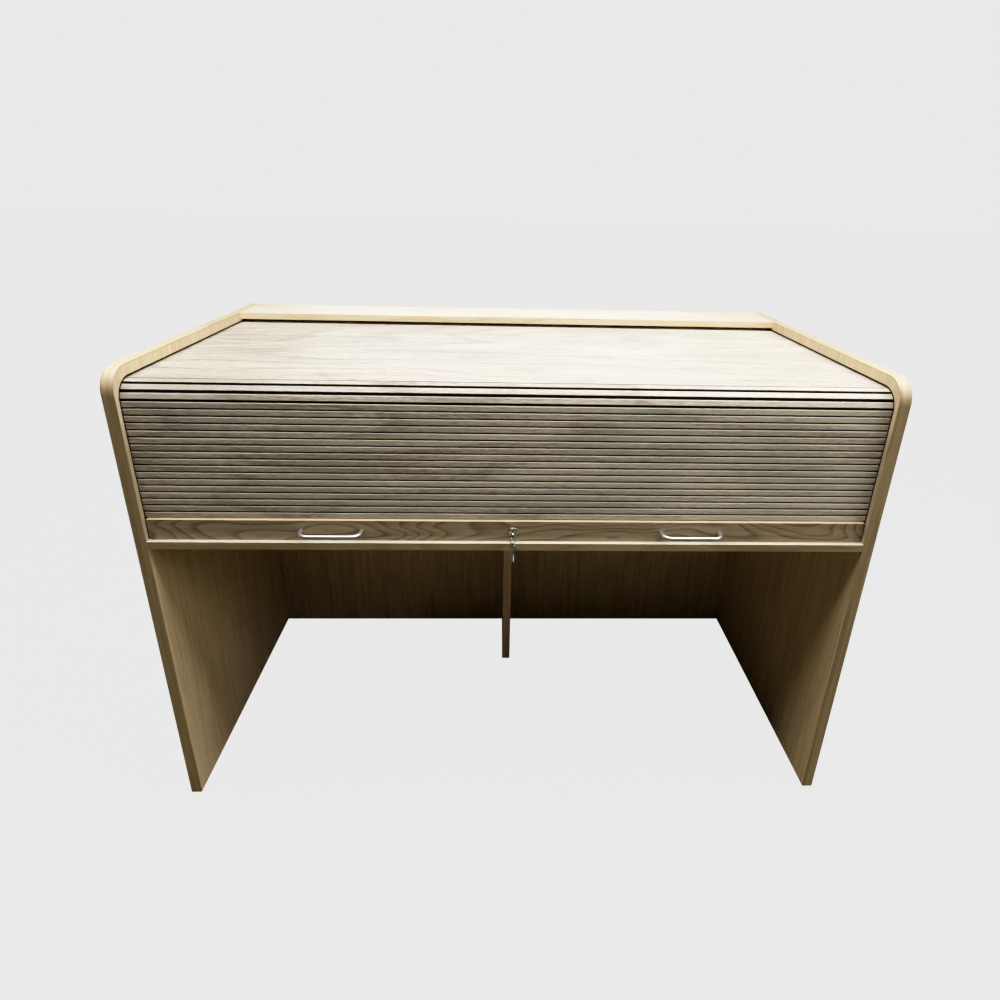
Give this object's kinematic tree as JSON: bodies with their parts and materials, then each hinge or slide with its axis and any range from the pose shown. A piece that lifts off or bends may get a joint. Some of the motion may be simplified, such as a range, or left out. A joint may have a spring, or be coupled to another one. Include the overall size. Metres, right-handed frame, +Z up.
{
  "type": "roll top desk",
  "caption": "Free-standing roll top desk with board ends, a worktop and a slatted curtain that runs up over a rounded front corner, with two bow handles and a key lock.",
  "frame": {"origin": "on the floor, under the middle of the whole desk with its handles", "axes": "+X along the width to the right seen from the front, +Y to the back, +Z up"},
  "size_m": [1.6, 0.8224, 1.1],
  "materials": {
    "board": "light oak effect melamine board, satin",
    "edging": "oak effect edging strip, satin",
    "slat": "pale oak veneer, satin lacquer, grain running on from slat to slat",
    "rail_wood": "oak with a strong arched grain, satin lacquer",
    "black_plastic": "matt black extrusion",
    "canvas": "coarse woven canvas",
    "satin_steel": "satin nickel plated steel",
    "chrome": "bright chrome",
    "key_steel": "nickel plated, worn on the edges",
    "zinc_plate": "zinc plated",
    "dowel_wood": "fluted beech, unfinished"
  },
  "bodies": {
    "carcass": {"left_side_panel": "board", "right_side_panel": "board", "left_edging": "edging", "right_edging": "edging", "worktop": "board", "worktop_edging": "edging", "rear_top_panel": "board", "rear_top_edging": "edging", "modesty_panel": "board", "centre_support": "board", "centre_support_edging": "edging", "inner_back_panel": "board", "outer_back_panel": "board", "left_track": "black_plastic", "right_track": "black_plastic", "front_slats": "slat", "corner_slats": "slat", "top_slats": "slat", "rear_corner_slats": "slat", "front_canvas": "canvas", "top_canvas": "canvas", "strike_plate": "zinc_plate", "strike_screws": "zinc_plate", "cam_bolts": "zinc_plate", "cam_discs": "zinc_plate", "wood_dowels": "dowel_wood"},
    "rail": {"lead_rail": "rail_wood", "rail_runners": "black_plastic", "canvas_tab": "canvas", "canvas_strip": "zinc_plate", "strip_screws": "zinc_plate", "left_handle": "satin_steel", "right_handle": "satin_steel", "handle_screws": "zinc_plate", "lock_housing": "chrome", "lock_nut": "zinc_plate"},
    "tail": {"tail_slats": "slat", "tail_canvas": "canvas"},
    "lock_barrel": {"lock_plug": "chrome", "lock_cam": "zinc_plate", "cam_screw": "zinc_plate"},
    "key_in_lock": {"key": "key_steel"},
    "ring": {"key_ring": "key_steel"},
    "hanging_key": {"spare_key": "key_steel"}
  },
  "joints": [
    {"name": "curtain_lift", "type": "slide", "parent": "carcass", "child": "rail", "axis": [0, 0, 1], "range_m": [0, 0.244], "deforming": ["front_slats", "front_canvas"]},
    {"name": "tail_drop", "type": "slide", "parent": "carcass", "child": "tail", "axis": [0, 0, -1], "range_m": [0, 0.244]},
    {"name": "lock_turn", "type": "hinge", "parent": "rail", "child": "lock_barrel", "pos_m": [0, -0.37925, 0.751], "axis": [0, 1, 0], "range_deg": [0, 90]},
    {"name": "key_pull", "type": "slide", "parent": "lock_barrel", "child": "key_in_lock", "axis": [0, -1, 0], "range_m": [0, 0.03]},
    {"name": "ring_swing", "type": "hinge", "parent": "key_in_lock", "child": "ring", "pos_m": [0, -0.40405, 0.751], "axis": [1, 0, 0], "range_deg": [-60, 3]},
    {"name": "spare_key_swing", "type": "hinge", "parent": "ring", "child": "hanging_key", "pos_m": [0, -0.40405, 0.7321], "axis": [0.7071, 0.7071, 0], "range_deg": [-60, 8]}
  ],
  "couplings": [
    {"joint": "tail_drop", "follows": "curtain_lift", "ratio": 1}
  ]
}
